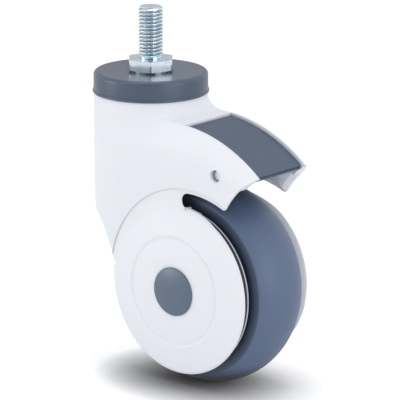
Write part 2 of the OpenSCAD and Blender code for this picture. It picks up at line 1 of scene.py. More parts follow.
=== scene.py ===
"""Looks of a threaded stem castor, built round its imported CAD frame.

Everything is in metres in the frame of the CAD part: the stem rises along +Z from the seating
face of its hexagon at height 0, the wheel trails towards +X and its axle lies along Y.
"""
import math

import bpy
import numpy as np
from bpy.props import FloatProperty, FloatVectorProperty, IntProperty, PointerProperty
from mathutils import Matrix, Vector


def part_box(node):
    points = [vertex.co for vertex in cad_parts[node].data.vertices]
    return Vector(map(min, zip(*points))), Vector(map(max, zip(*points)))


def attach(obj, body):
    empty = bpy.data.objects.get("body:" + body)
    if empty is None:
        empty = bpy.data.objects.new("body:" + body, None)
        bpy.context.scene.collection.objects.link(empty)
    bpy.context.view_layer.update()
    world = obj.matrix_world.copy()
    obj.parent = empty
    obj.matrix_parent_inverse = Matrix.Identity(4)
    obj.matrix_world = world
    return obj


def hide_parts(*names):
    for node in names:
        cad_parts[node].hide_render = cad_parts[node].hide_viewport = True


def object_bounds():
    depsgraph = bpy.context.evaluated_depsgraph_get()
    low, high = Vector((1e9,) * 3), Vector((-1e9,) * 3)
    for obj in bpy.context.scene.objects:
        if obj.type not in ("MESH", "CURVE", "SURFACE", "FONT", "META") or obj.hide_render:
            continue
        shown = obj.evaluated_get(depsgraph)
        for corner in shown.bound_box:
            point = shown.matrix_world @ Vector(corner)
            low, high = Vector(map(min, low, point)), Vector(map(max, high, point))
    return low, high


bl_info = {
    "name": "Threaded stem castor",
    "version": (1, 0, 0),
    "blender": (4, 5, 0),
    "location": "View3D > Sidebar > Castor",
    "description": "Dresses the packed castor: rolled thread, tyre, moulded housing and studio",
    "category": "Object",
}

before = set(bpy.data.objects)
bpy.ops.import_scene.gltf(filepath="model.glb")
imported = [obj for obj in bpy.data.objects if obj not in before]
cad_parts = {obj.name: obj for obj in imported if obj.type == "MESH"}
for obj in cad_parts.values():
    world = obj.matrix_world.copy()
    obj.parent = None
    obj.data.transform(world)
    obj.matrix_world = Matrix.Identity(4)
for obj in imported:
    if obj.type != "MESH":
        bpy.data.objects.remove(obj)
CAD_BOX = [list(corner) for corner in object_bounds()]
MM = 0.001


# Colours

def linear(hex_colour):
    """The linear colour of an sRGB hex value, by the two part sRGB curve."""
    text = hex_colour.lstrip("#")
    values = [int(text[i:i + 2], 16) / 255 for i in (0, 2, 4)]
    return tuple(v / 12.92 if v <= 0.04045 else ((v + 0.055) / 1.055) ** 2.4 for v in values)


def colour_property(name, description, hex_colour):
    """A colour swatch whose default is an sRGB hex value."""
    return FloatVectorProperty(
        name=name, description=description, subtype="COLOR", size=3, min=0, max=1,
        default=linear(hex_colour))


def length_property(name, description, default_mm, low_mm, high_mm):
    """A length, kept in metres and given here in millimetres."""
    return FloatProperty(
        name=name, description=description, default=default_mm * MM, min=low_mm * MM,
        max=high_mm * MM, subtype="DISTANCE", unit="LENGTH", precision=5)


def power_property(name, description, watts):
    """The power of a soft box in watts."""
    return FloatProperty(name=name, description=description, default=watts, min=0, unit="POWER")


def share_property(name, description, share, high=1.0):
    """A plain number from nought up, most often a share of one."""
    return FloatProperty(name=name, description=description, default=share, min=0, max=high)


class StemSizes(bpy.types.PropertyGroup):
    """Sizes of the stem, its hexagon and its thread."""
    pitch: length_property("Pitch", "Rise of the thread in one turn", 1.75, 1.25, 2)
    major_radius: length_property("Major radius", "Radius at the crests", 5.98, 5.5, 6)
    runout: length_property(
        "Run-out", "Length over which the thread fades at the hexagon", 1.6, 0.5, 4)
    across_flats: length_property(
        "Across flats", "Width of the hexagon across its flats", 21, 20, 21)
    hexagon_turn: FloatProperty(
        name="Hexagon turn", description="Turn of the hexagon about the stem",
        default=math.radians(11), min=0, max=math.radians(60), subtype="ANGLE", unit="ROTATION")
    around: IntProperty(
        name="Steps around", description="Grid steps round the stem", default=240, min=60, max=360)


class TyreSizes(bpy.types.PropertyGroup):
    """Sizes of the tyre's section."""
    crown_radius: length_property("Crown radius", "Radius across the tread", 25.2, 24, 30)
    edge_radius: length_property("Edge radius", "Rounding where tread and side meet", 0.9, 0.5, 3)
    around: IntProperty(
        name="Steps around", description="Grid steps round the tyre", default=256, min=64, max=400)


class CapSizes(bpy.types.PropertyGroup):
    """Roundings of the swivel cap and the axle plugs."""
    rim_radius: length_property(
        "Rim radius", "Rounding of the swivel cap's upper edge", 1.9, 0.5, 2)
    dish: length_property("Dish", "Depth of the hollow in the swivel cap's top", 0.25, 0, 0.4)
    plug_edge: length_property(
        "Plug edge", "Rounding of the edge of the axle plugs", 0.45, 0.1, 0.6)


class HousingSizes(bpy.types.PropertyGroup):
    """How far the forms of the housing run together in its skin."""
    side_blend: length_property(
        "Side blend", "Width over which shoulder and cheek run together", 4.5, 0.5, 8)
    neck_blend: length_property(
        "Neck blend", "Width over which neck and shoulder run together", 9, 1, 14)
    crest_blend: length_property(
        "Crest blend", "Width over which neck and crest run together", 3.5, 1, 6)
    disc_lift: share_property(
        "Disc lift", "Rise of a side disc's face for each millimetre of radius", 0.09, 0.16)
    finest: length_property(
        "Finest edge", "Longest mesh edge where forms run together", 1.2, 0.5, 4)


class CastorFinish(bpy.types.PropertyGroup):
    """Colours of the materials and widths of their grain and edges."""
    housing: colour_property("Housing", "White moulded nylon of the housing", "#EBEEF6")
    slate: colour_property("Cap and cover", "Slate grey nylon of the cap and the cover", "#48566B")
    plug: colour_property("Plugs", "Slate grey nylon of the axle plugs", "#5A6A7E")
    tyre: colour_property("Tyre", "Blue grey thermoplastic rubber", "#586987")
    guard: colour_property("Guards", "Dark grey plastic of the thread guards", "#4A4D58")
    # Painted highlight: the pale colour stands in for the light the guards' round rims catch
    guard_rim_highlight: colour_property("Guard rim highlight", "Pale colour painted on the guards' rims as a highlight", "#C4C7D2")
    zinc: colour_property("Zinc", "Bright zinc plating on the stem", "#E8F0F6")
    zinc_tint: colour_property("Zinc tint", "Blue tint of the passivated zinc", "#B5D3E6")
    bearing: colour_property("Bearing steel", "Ground steel of rings and balls", "#C8CACD")
    core: colour_property("Wheel centre", "Grey polypropylene of the wheel centre", "#8B9099")
    grain: length_property("Grain", "Width of one grain of the mould as drawn", 0.35, 0.1, 2)
    edge: length_property(
        "Edge rounding", "Small radius on the edges of the mouldings", 0.7, 0.1, 2)


class StudioSizes(bpy.types.PropertyGroup):
    """The camera's place and the powers of the lights."""
    lens: FloatProperty(
        name="Lens", description="Focal length in millimetres on a 36 mm sensor",
        default=288.85, min=50, max=600)
    camera_place: FloatVectorProperty(
        name="Camera place", description="Camera position in the castor's frame",
        size=3, default=(1.01135, -1.13899, 0.33243), subtype="TRANSLATION", unit="LENGTH")
    yaw: FloatProperty(
        name="Yaw", description="Turn of the view about the vertical", default=math.radians(40.705),
        subtype="ANGLE", unit="ROTATION")
    pitch: FloatProperty(
        name="Pitch", description="Angle of the view below the horizon",
        default=math.radians(14.856), subtype="ANGLE", unit="ROTATION")
    key_power: power_property("Key light", "Power of the light overhead", 4)
    front_power: power_property("Front light", "Power of the high light in front", 1.6)
    side_power: power_property("Side light", "Power of the low light at the left", 5.5)
    fill_power: power_property("Fill light", "Power of the low light at the right", 5)
    tent: share_property("Tent", "Strength of the even light all round", 0.7)
    opening: share_property(
        "Opening", "Brightness of the tent where it is open, as a share of its sides", 0.3)
    seam: share_property(
        "Seam", "Brightness of the tent's shaded back, as a share of its sides", 0.6)


# Mesh and node helpers

def shell(points, ring=False):
    """The vertices and faces of a grid of points[row, column, xyz] that closes round each row.

    In a ring the last row joins the first one. Any other grid gets a fan at each end, round the
    mean of its end row. The faces come as arrays of point numbers, one for each kind of face.
    """
    rows, columns = points.shape[:2]
    verts = points.reshape(-1, 3)
    row = np.arange(rows if ring else rows - 1)[:, None] * columns
    here = np.arange(columns)[None, :]
    beside = (here + 1) % columns
    above = (row + columns) % (rows * columns)
    faces = [np.stack(
        [row + here, row + beside, above + beside, above + here], -1).reshape(-1, 4)]
    if not ring:
        around, next_one = here[0], beside[0]
        last = (rows - 1) * columns
        first_pole, last_pole = len(verts), len(verts) + 1
        faces.append(np.stack([next_one, around, np.full(columns, first_pole)], -1))
        faces.append(np.stack(
            [last + around, last + next_one, np.full(columns, last_pole)], -1))
        verts = np.vstack([verts, points[0].mean(0), points[-1].mean(0)])
    return verts, faces


def mirrored(piece):
    """A shell mirrored to the other side of the wheel, with its faces turned to stay outward."""
    verts, faces = piece
    return verts * [1, -1, 1], [group[:, ::-1] for group in faces]


def surface(name, shells, smooth_angle=32):
    """A mesh object of one or more shells, smooth but for edges over the angle in degrees."""
    verts, faces = np.empty((0, 3)), []
    for points, groups in shells:
        for group in groups:
            faces += (group + len(verts)).tolist()
        verts = np.vstack([verts, points])
    mesh = bpy.data.meshes.new(name)
    mesh.from_pydata(verts.tolist(), [], faces)
    mesh.validate()
    mesh.shade_smooth()
    mesh.set_sharp_from_angle(angle=math.radians(smooth_angle))
    obj = bpy.data.objects.new(name, mesh)
    bpy.context.scene.collection.objects.link(obj)
    return obj


def about_stem(r, z, around):
    """Points of a profile of radius and height turned about the stem's axis."""
    turn = np.arange(around) * 2 * math.pi / around
    r, z = np.array(r)[:, None], np.array(z)[:, None]
    return np.stack([r * np.cos(turn), r * np.sin(turn), z + 0 * turn], -1)


def about_axle(r, y, around):
    """Points of a profile of radius and width turned about the wheel's axle."""
    low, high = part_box("tyre")
    axle = (low + high) / 2
    turn = -np.arange(around) * 2 * math.pi / around
    r, y = np.array(r)[:, None], np.array(y)[:, None]
    return np.stack([
        axle.x + r * np.cos(turn), axle.y + y + 0 * turn, axle.z + r * np.sin(turn)], -1)


def arc(centre_r, centre_h, radius, start, end, steps):
    """Two lists with the points of an arc in a profile, its angles in degrees from outward."""
    angle = np.radians(np.linspace(start, end, steps))
    r, h = centre_r + radius * np.cos(angle), centre_h + radius * np.sin(angle)
    return r.tolist(), h.tolist()


def eased(share):
    """A share held between nought and one and eased at both ends: 3 squares less 2 cubes."""
    share = np.clip(share, 0, 1)
    return share * share * (3 - 2 * share)


def rides(obj, node, part, material):
    """Puts a piece in place of a CAD node and gives it its part and its material."""
    obj.data.materials.append(material)
    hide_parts(node)
    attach(obj, part)


def add_node(tree, kind, links=None, values=None, **settings):
    """Adds a node, sets its attributes and socket values, and links its inputs."""
    made = tree.nodes.new(kind)
    for key, value in settings.items():
        setattr(made, key, value)
    for socket, value in (values or {}).items():
        made.inputs[socket].default_value = value
    for socket, source in (links or {}).items():
        tree.links.new(source, made.inputs[socket])
    return made


def new_material(name):
    """An empty node material with its output."""
    material = bpy.data.materials.new(name)
    material.use_nodes = True
    material.node_tree.nodes.clear()
    return material, material.node_tree


def rgba(colour, gain=1.0):
    """A colour property as four numbers, made lighter or darker by a gain."""
    return tuple(min(1.0, c * gain) for c in colour) + (1.0,)


def shaded(tree, tone, reach, shut, clear, darkest):
    """A colour drawn darker where something stands within reach, as in a groove or a corner.

    The darkening is painted shade. Where no more than the shut share of the air is open it takes
    the darkest share of the colour, and where more than the clear share is open it takes all of it.
    """
    air = add_node(tree, "ShaderNodeAmbientOcclusion", None, {"Distance": reach}, samples=8)
    share = add_node(tree, "ShaderNodeMapRange", {"Value": air.outputs["AO"]},
                     {"From Min": shut, "From Max": clear, "To Min": darkest, "To Max": 1.0})
    return add_node(tree, "ShaderNodeVectorMath",
                    {0: tone.outputs["Result"], "Scale": share.outputs["Result"]},
                    operation="SCALE")


def finish_surface(tree, shader):
    """Sends a shader to the surface of its material."""
    add_node(tree, "ShaderNodeOutputMaterial", {"Surface": shader.outputs[0]})


# Materials

# Widths of the patterns in the materials, and how far their shade reaches, in metres
PLASTIC_CLOUD, PLASTIC_SHADE = 30 * MM, 1.6 * MM
RUBBER_CLOUD, RUBBER_GRAIN, RUBBER_SHADE = 18 * MM, 0.3 * MM, 15 * MM
PLATING_DRIFT, PLATING_HAZE, PLATING_SHADE = 6 * MM, 1.2 * MM, 1.2 * MM
GROUND_HAZE = 2 * MM


def moulded_plastic(name, colour, roughness, grain, grain_depth, edge, spread=0.03, depth=0.0):
    """Injection moulded nylon or polypropylene from a spark textured mould.

    The mould leaves an even fine grain that softens the highlight, and the melt leaves faint
    clouds in the gloss. A real grain is about a tenth of a millimetre wide, too fine to show,
    so it is drawn at the coarser width given. Edges carry a small moulding radius. Grooves and
    steps narrower than the shade's reach are painted a little darker, as painted shade. Light
    goes into pale nylon to the given depth and comes out again, which lifts its shadows.
    """
    material, tree = new_material(name)
    place = add_node(tree, "ShaderNodeTexCoord")
    fine = add_node(tree, "ShaderNodeTexNoise", {"Vector": place.outputs["Object"]},
                    {"Scale": 1 / grain, "Detail": 2.0, "Roughness": 0.6})
    clouds = add_node(tree, "ShaderNodeTexNoise", {"Vector": place.outputs["Object"]},
                      {"Scale": 1 / PLASTIC_CLOUD, "Detail": 3.0, "Roughness": 0.5})
    tone = add_node(tree, "ShaderNodeMix", {"Factor": clouds.outputs["Fac"]}, data_type="RGBA")
    tone.inputs["A"].default_value = rgba(colour, 1 - spread)
    tone.inputs["B"].default_value = rgba(colour, 1 + spread)
    # Painted shade: the colour is darker in grooves, steps and corners
    painted_shade_colour = shaded(tree, tone, PLASTIC_SHADE, 0.45, 0.96, 0.68)
    gloss = add_node(tree, "ShaderNodeMapRange", {"Value": clouds.outputs["Fac"]},
                     {"From Min": 0.3, "From Max": 0.7,
                      "To Min": roughness - 0.03, "To Max": roughness + 0.03})
    rounded = add_node(tree, "ShaderNodeBevel", None, {"Radius": edge}, samples=8)
    bump = add_node(tree, "ShaderNodeBump",
                    {"Height": fine.outputs["Fac"], "Normal": rounded.outputs[0]},
                    {"Strength": 0.35, "Distance": grain_depth})
    shader = add_node(tree, "ShaderNodeBsdfPrincipled", {
        "Base Color": painted_shade_colour.outputs[0], "Roughness": gloss.outputs["Result"],
        "Normal": bump.outputs[0]},
        {"IOR": 1.53, "Subsurface Weight": 0.3 if depth else 0.0, "Subsurface Scale": depth,
         "Subsurface Radius": (1.0, 1.0, 1.0)})
    finish_surface(tree, shader)
    return material


def moulded_rubber(name, colour, edge):
    """Thermoplastic rubber tyre, moulded in a fine blasted mould.

    Soft rubber has a broad dull sheen and a faint powdery bloom that lightens it in clouds. Its
    grain is drawn coarser than life, so that it shows. Where it runs close under the housing it
    is drawn near black, as little light comes there.
    """
    material, tree = new_material(name)
    place = add_node(tree, "ShaderNodeTexCoord")
    bloom = add_node(tree, "ShaderNodeTexNoise", {"Vector": place.outputs["Object"]},
                     {"Scale": 1 / RUBBER_CLOUD, "Detail": 4.0, "Roughness": 0.55})
    grain = add_node(tree, "ShaderNodeTexNoise", {"Vector": place.outputs["Object"]},
                     {"Scale": 1 / RUBBER_GRAIN, "Detail": 2.0})
    tone = add_node(tree, "ShaderNodeMix", {"Factor": bloom.outputs["Fac"]}, data_type="RGBA")
    tone.inputs["A"].default_value = rgba(colour, 0.95)
    tone.inputs["B"].default_value = rgba(colour, 1.05)
    # Painted shade: the tyre's colour goes near black where the housing or guards stand close
    painted_shade_colour = shaded(tree, tone, RUBBER_SHADE, 0.3, 0.95, 0.22)
    gloss = add_node(tree, "ShaderNodeMapRange", {"Value": bloom.outputs["Fac"]},
                     {"From Min": 0.3, "From Max": 0.7, "To Min": 0.4, "To Max": 0.5})
    rounded = add_node(tree, "ShaderNodeBevel", None, {"Radius": edge}, samples=8)
    bump = add_node(tree, "ShaderNodeBump",
                    {"Height": grain.outputs["Fac"], "Normal": rounded.outputs[0]},
                    {"Strength": 0.3, "Distance": 0.02 * MM})
    shader = add_node(tree, "ShaderNodeBsdfPrincipled", {
        "Base Color": painted_shade_colour.outputs[0], "Roughness": gloss.outputs["Result"],
        "Normal": bump.outputs[0]}, {"IOR": 1.5})
    finish_surface(tree, shader)
    return material


def zinc_plated_steel(name, colour, tint):
    """Rolled and turned steel with bright blue passivated zinc.

    The plating is a thin mirror with a slight haze and a blue green tint that drifts over a
    few millimetres. In the bottom of the thread and other narrow hollows its colour is painted
    darker, as painted shade.
    """
    material, tree = new_material(name)
    place = add_node(tree, "ShaderNodeTexCoord")
    drift = add_node(tree, "ShaderNodeTexNoise", {"Vector": place.outputs["Object"]},
                     {"Scale": 1 / PLATING_DRIFT, "Detail": 2.0})
    haze = add_node(tree, "ShaderNodeTexNoise", {"Vector": place.outputs["Object"]},
                    {"Scale": 1 / PLATING_HAZE, "Detail": 3.0})
    blend = add_node(tree, "ShaderNodeMapRange", {"Value": drift.outputs["Fac"]},
                     {"From Min": 0.35, "From Max": 0.65, "To Min": 0.0, "To Max": 0.7})
    tone = add_node(tree, "ShaderNodeMix", {"Factor": blend.outputs["Result"]}, data_type="RGBA")
    tone.inputs["A"].default_value = rgba(colour)
    tone.inputs["B"].default_value = rgba(tint)
    # Painted shade: the colour is darker in the thread's roots and other narrow hollows
    painted_thread_shade = shaded(tree, tone, PLATING_SHADE, 0.35, 0.8, 0.42)
    gloss = add_node(tree, "ShaderNodeMapRange", {"Value": haze.outputs["Fac"]},
                     {"From Min": 0.3, "From Max": 0.7, "To Min": 0.13, "To Max": 0.2})
    bump = add_node(tree, "ShaderNodeBump", {"Height": haze.outputs["Fac"]},
                    {"Strength": 0.2, "Distance": 0.01 * MM})
    shader = add_node(tree, "ShaderNodeBsdfPrincipled", {
        "Base Color": painted_thread_shade.outputs[0], "Roughness": gloss.outputs["Result"],
        "Normal": bump.outputs[0]}, {"Metallic": 1.0})
    finish_surface(tree, shader)
    return material


def ground_steel(name, colour):
    """Ground and polished bearing steel, a clean mirror with very little haze."""
    material, tree = new_material(name)
    place = add_node(tree, "ShaderNodeTexCoord")
    haze = add_node(tree, "ShaderNodeTexNoise", {"Vector": place.outputs["Object"]},
                    {"Scale": 1 / GROUND_HAZE, "Detail": 2.0})
    gloss = add_node(tree, "ShaderNodeMapRange", {"Value": haze.outputs["Fac"]},
                     {"From Min": 0.3, "From Max": 0.7, "To Min": 0.1, "To Max": 0.16})
    shader = add_node(tree, "ShaderNodeBsdfPrincipled", {"Roughness": gloss.outputs["Result"]},
                      {"Metallic": 1.0, "Base Color": rgba(colour)})
    finish_surface(tree, shader)
    return material


def dress(nodes, material):
    """Gives the CAD nodes a material without touching their meshes."""
    for name in nodes:
        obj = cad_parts[name]
        slots = obj.material_slots
        if not slots:
            obj.data.materials.append(material)
        for one in slots:
            one.material = material


# Pieces

# The stem's turned radii, the gap under its hexagon, how much the hexagon's corners, top and
# foot are cut, the plain length under the thread and the tip's chamfer, in metres
TAIL_R, PIN_R, LOWER_SEAT_R, UPPER_SEAT_R, COLLAR_R = (
    r * MM for r in (5, 6, 7.49, 8.49, 9.5))
HEXAGON_GAP, CORNER_CUT, TOP_CUT, FOOT_CUT = 0.9 * MM, 0.12 * MM, 0.55 * MM, 0.2 * MM
TOP_SLOPE, FOOT_SLOPE = 3.8, 3
PLAIN, TIP_CHAMFER = 0.5 * MM, 0.9 * MM
# A metric thread's depth for one pitch, the share of it by which the plain shank is thinner
# than the crests, and the swell of the flanks
THREAD_DEPTH, SHANK_DEPTH, FLANK_SWELL = 0.6134, 0.55, 0.06


def stem_profile(sizes):
    """The stem as rows of radius and height, from the tail up to the tip, and its angles.

    Below the hexagon it is a turned pin with straight steps at the two bearings. The hexagon's
    radius is half its width over the cosine of the angle from the middle of a flat, cut by a
    cone at its top and its foot. Over it the radius is the crest's less a groove with flanks at
    60 degrees, whose place shifts by one pitch in each turn, and a cone cuts the tip. Returns
    radius[row, column], height[row] and the angle of each column.
    """
    low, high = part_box("threaded_stem")
    lower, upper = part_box("lower_inner_ring"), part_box("upper_inner_ring")
    hexagon_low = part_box("top_cap")[1].z + HEXAGON_GAP
    seat_low = lower[0].z + 0.6 * MM
    angle = sizes.hexagon_turn + np.arange(sizes.around) * 2 * math.pi / sizes.around
    steps = [
        (TAIL_R, low.z), (PIN_R, low.z + MM), (PIN_R, seat_low), (LOWER_SEAT_R, seat_low),
        (LOWER_SEAT_R, lower[1].z), (UPPER_SEAT_R, lower[1].z), (UPPER_SEAT_R, upper[1].z),
        (COLLAR_R, upper[1].z), (COLLAR_R, hexagon_low)]
    radius = [np.full(sizes.around, r) for r, z in steps]
    height = [z for r, z in steps]

    flat = sizes.across_flats / 2
    corner = flat / math.cos(math.radians(30))
    sixth = math.radians(60)
    hexagon = flat / np.cos((angle - sizes.hexagon_turn) % sixth - sixth / 2)
    hexagon = np.minimum(hexagon, corner - CORNER_CUT)
    foot_rows = [hexagon_low, hexagon_low + 0.15 * MM]
    for z in np.concatenate([foot_rows, np.linspace(-0.6 * MM, 0, 7)]):
        cone = corner - TOP_CUT - TOP_SLOPE * z
        foot = corner - FOOT_CUT + FOOT_SLOPE * (z - hexagon_low)
        radius.append(np.minimum(np.minimum(hexagon, cone), foot))
        height.append(z)

    crest = sizes.major_radius
    depth = THREAD_DEPTH * sizes.pitch
    half_flat = sizes.pitch / 16
    tip = high.z
    rise = np.append(np.arange(0, tip - 0.02 * MM, half_flat), tip)
    turn = (rise[:, None] / sizes.pitch - (angle / (2 * math.pi))[None, :]) % 1.0
    from_crest = np.minimum(turn, 1 - turn) * sizes.pitch
    cut = np.clip((from_crest - half_flat) * math.tan(math.radians(60)), 0, depth)
    cut = cut - FLANK_SWELL * depth * np.sin(np.pi * cut / depth) ** 2
    fade = eased((rise - PLAIN) / sizes.runout)[:, None]
    body = (crest - SHANK_DEPTH * depth) * (1 - fade) + (crest - cut) * fade
    chamfer = crest - np.maximum(0, rise - (tip - TIP_CHAMFER))[:, None]
    body = np.minimum(body, chamfer)
    radius += list(body)
    height += list(rise)
    return np.array(radius), np.array(height), angle


class CASTOR_OT_stem(bpy.types.Operator):
    """Makes the threaded stem with its rolled right hand thread, hexagon and bearing pin"""
    bl_idname = "castor.stem"
    bl_label = "Threaded stem"

    def execute(self, context):
        sizes = context.scene.castor_stem
        finish = context.scene.castor_finish
        radius, height, angle = stem_profile(sizes)
        points = np.stack([
            radius * np.cos(angle), radius * np.sin(angle),
            np.broadcast_to(height[:, None], radius.shape)], -1)
        rides(surface("stem_with_thread", [shell(points)], 28),
              "threaded_stem", "stem",
              zinc_plated_steel("zinc_plated_rolled_steel", finish.zinc, finish.zinc_tint))
        return {"FINISHED"}


TYRE_BORE_R = 37 * MM


def tyre_profile(sizes):
    """Section of the tyre as radius and width, across its tread and round its sides and bore.

    The tread is an arc of the crown radius, and a small arc joins it to the flat side: its
    middle lies one edge radius inside both.
    """
    low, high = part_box("tyre")
    tread = (high.z - low.z) / 2
    half = (high.y - low.y) / 2
    crown = sizes.crown_radius
    edge = sizes.edge_radius
    centre = tread - crown
    edge_y = half - edge
    edge_r = centre + math.sqrt((crown - edge) ** 2 - edge_y ** 2)
    reach = math.atan2(edge_y, edge_r - centre)
    across = np.linspace(-reach, reach, 61)
    bend = np.linspace(reach, math.pi / 2, 9)[1:]
    crown_r = centre + crown * np.cos(across)
    crown_y = crown * np.sin(across)
    bend_r = edge_r + edge * np.cos(bend)
    bend_y = edge_y + edge * np.sin(bend)
    side = np.linspace(bend_r[-1], TYRE_BORE_R, 6)[1:]
    r = np.concatenate([crown_r, bend_r, side, side[::-1], bend_r[::-1]])
    y = np.concatenate([crown_y, bend_y, np.full(5, half), np.full(5, -half), -bend_y[::-1]])
    return r, y


class CASTOR_OT_tyre(bpy.types.Operator):
    """Makes the moulded tyre with its crowned tread and rounded edges"""
    bl_idname = "castor.tyre"
    bl_label = "Tyre"

    def execute(self, context):
        sizes = context.scene.castor_tyre
        finish = context.scene.castor_finish
        points = about_axle(*tyre_profile(sizes), sizes.around)
        rides(surface("moulded_tyre", [shell(points, ring=True)]), "tyre", "wheel",
              moulded_rubber("moulded_thermoplastic_rubber", finish.tyre, finish.edge))
        return {"FINISHED"}


def smooth_larger(a, b, width):
    """The larger of two fields, rounded where they differ by less than the width."""
    share = np.maximum(width - np.abs(a - b), 0) / width
    return np.maximum(a, b) + share * share * width / 4


# The housing's form as its solid is drawn, in millimetres over the ground: the places of its
# round parts along X and Z, their radii, and half widths along Y
AXLE_X, AXLE_Z = 38, 50
CHEEK_X, CHEEK_Z, CHEEK_R, CHEEK_HALF = 44.2, 50.3, 50.3, 23.2
CHEEK_SLOPE, CHEEK_COSINE = 0.21, 0.9786
CREST_X, CREST_Z, CREST_R = 31.2, 49.7, 80.6
SHOULDER_START, SHOULDER_R, SHOULDER_IN, SHOULDER_HALF = 59, 29.5, 2.093, 27.407
SIDE_HALF, SIDE_TAPER, SIDE_LENGTH = 27.4, 2, 85
NECK_R = 27.75
# The half width where the crest's rounding begins to turn into the neck's, and over how much
BLEND_START, BLEND_LENGTH = 9, 9


def housing_field(points, sizes=None):
    """How far points, given in millimetres over the ground, lie outside the housing's form.

    The form is the cone of the cheeks cut with the neck and the hood together, and the hood is
    its two round shoulders cut with its crest and its narrowing sides. Each is the distance
    from an axis or an arc less a radius, a cut takes the larger and a joint the smaller. With
    sizes given, all of these but the crest's own edges are rounded over a width; without them
    the edges are sharp.
    """
    x, y, z = points.T
    y = np.abs(y)
    from_cheek = np.hypot(x - CHEEK_X, z - CHEEK_Z) - CHEEK_R
    cheek = (y - CHEEK_HALF - CHEEK_SLOPE * from_cheek) * CHEEK_COSINE
    from_crest = np.hypot(x - CREST_X, z - CREST_Z)
    round_shoulder = np.hypot(from_crest - SHOULDER_START, y + SHOULDER_IN) - SHOULDER_R
    shoulder = np.where(from_crest > SHOULDER_START, round_shoulder, y - SHOULDER_HALF)
    side = y - SIDE_HALF + x * SIDE_TAPER / SIDE_LENGTH
    crest = np.maximum(from_crest - CREST_R, -x)
    neck = np.hypot(x, y) - NECK_R
    if sizes is None:
        hood = np.maximum(np.maximum(shoulder, side), crest)
        return np.maximum(cheek, np.minimum(neck, hood)), neck, hood
    side_blend = sizes.side_blend / MM
    hood = np.maximum(smooth_larger(shoulder, side, side_blend / 2), crest)
    outward = eased((y - BLEND_START) / BLEND_LENGTH)
    width = (sizes.crest_blend + (sizes.neck_blend - sizes.crest_blend) * outward) / MM
    both = -smooth_larger(-neck, -hood, width)
    return smooth_larger(cheek, both, side_blend), neck, hood


def split_edges(points, faces, chosen):
    """Halves the chosen edges of a closed triangle mesh and redraws the triangles beside them.

    chosen takes the edges as pairs of point numbers and says which to halve. A triangle with
    one, two or three halved edges becomes two, three or four.
    """
    sides = np.sort(np.stack([faces, np.roll(faces, -1, 1)], -1), -1)
    edges, back = np.unique(sides.reshape(-1, 2), axis=0, return_inverse=True)
    pick = chosen(edges)
    middle = np.where(pick, len(points) + np.cumsum(pick) - 1, -1)[back.reshape(-1, 3)]
    points = np.vstack([points, points[edges[pick]].mean(1)])
    count = (middle >= 0).sum(1)
    made = [faces[count == 0]]

    one = count == 1
    first = np.argmax(middle[one] >= 0, 1)[:, None]
    a, b, c = (np.take_along_axis(faces[one], (first + i) % 3, 1)[:, 0] for i in range(3))
    ab = np.take_along_axis(middle[one], first, 1)[:, 0]
    made += [np.stack(t, 1) for t in ((a, ab, c), (ab, b, c))]

    two = count == 2
    first = (np.argmax(middle[two] < 0, 1)[:, None] + 1) % 3
    a, b, c = (np.take_along_axis(faces[two], (first + i) % 3, 1)[:, 0] for i in range(3))
    ab, bc = (np.take_along_axis(middle[two], (first + i) % 3, 1)[:, 0] for i in range(2))
    made += [np.stack(t, 1) for t in ((ab, b, bc), (a, ab, bc), (a, bc, c))]

    a, b, c = faces[count == 3].T
    ab, bc, ca = middle[count == 3].T
    made += [np.stack(t, 1) for t in ((a, ab, ca), (ab, b, bc), (ca, bc, c), (ab, bc, ca))]
    return points, np.vstack(made)


def welded_triangles(obj):
    """The points, in millimetres over the ground, and the triangles of a CAD node, welded."""
    mesh = obj.data
    mesh.calc_loop_triangles()
    points = np.empty(len(mesh.vertices) * 3, np.float32)
    mesh.vertices.foreach_get("co", points)
    faces = np.empty(len(mesh.loop_triangles) * 3, np.int32)
    mesh.loop_triangles.foreach_get("vertices", faces)
    points, back = np.unique(points.reshape(-1, 3), axis=0, return_inverse=True)
    faces = back.reshape(-1)[faces].reshape(-1, 3)
    whole = (faces != np.roll(faces, 1, 1)).all(1)
    points = (points.astype(float) - [0, 0, CAD_BOX[0][2]]) / MM
    return points, faces[whole]


# The side discs in the same millimetres: the groove and the edge of a disc's face, the half
# width it lies over and the sloping one of the root it lies under, the half widths round its
# back, and the radius of the back's edge as the solid has it and as the skin has it
GROOVE_R, DISC_R = 27.8, 41.65
FACE_IN, FACE_OUT, FACE_DRAFT, FACE_START = 20.5, 27.15, 0.15, 28.8
BACK_LOW, BACK_HIGH = 19.9, 20.05
BACK_R, BACK_REACH, THIN_BACK_R = 38.9, 0.15, 36
# The closed end of a slot: its middle, the reach that finds its points, its radius in the
# solid and in the skin, and where the lift of the face begins and over what length
SLOT_X, SLOT_Z, SLOT_REACH, SLOT_END_X = 43.6, 95, 3.75, 42.4
SLOT_R, WIDE_SLOT_R = 3.7, 6.7
LIFT_START, LIFT_LENGTH = 8, 14


def scaled_about(points, x, z, share):
    """Points moved to a share of their distance from a line along Y."""
    middle = [x, 0, z]
    return (points - middle) * [share, 1, share] + middle


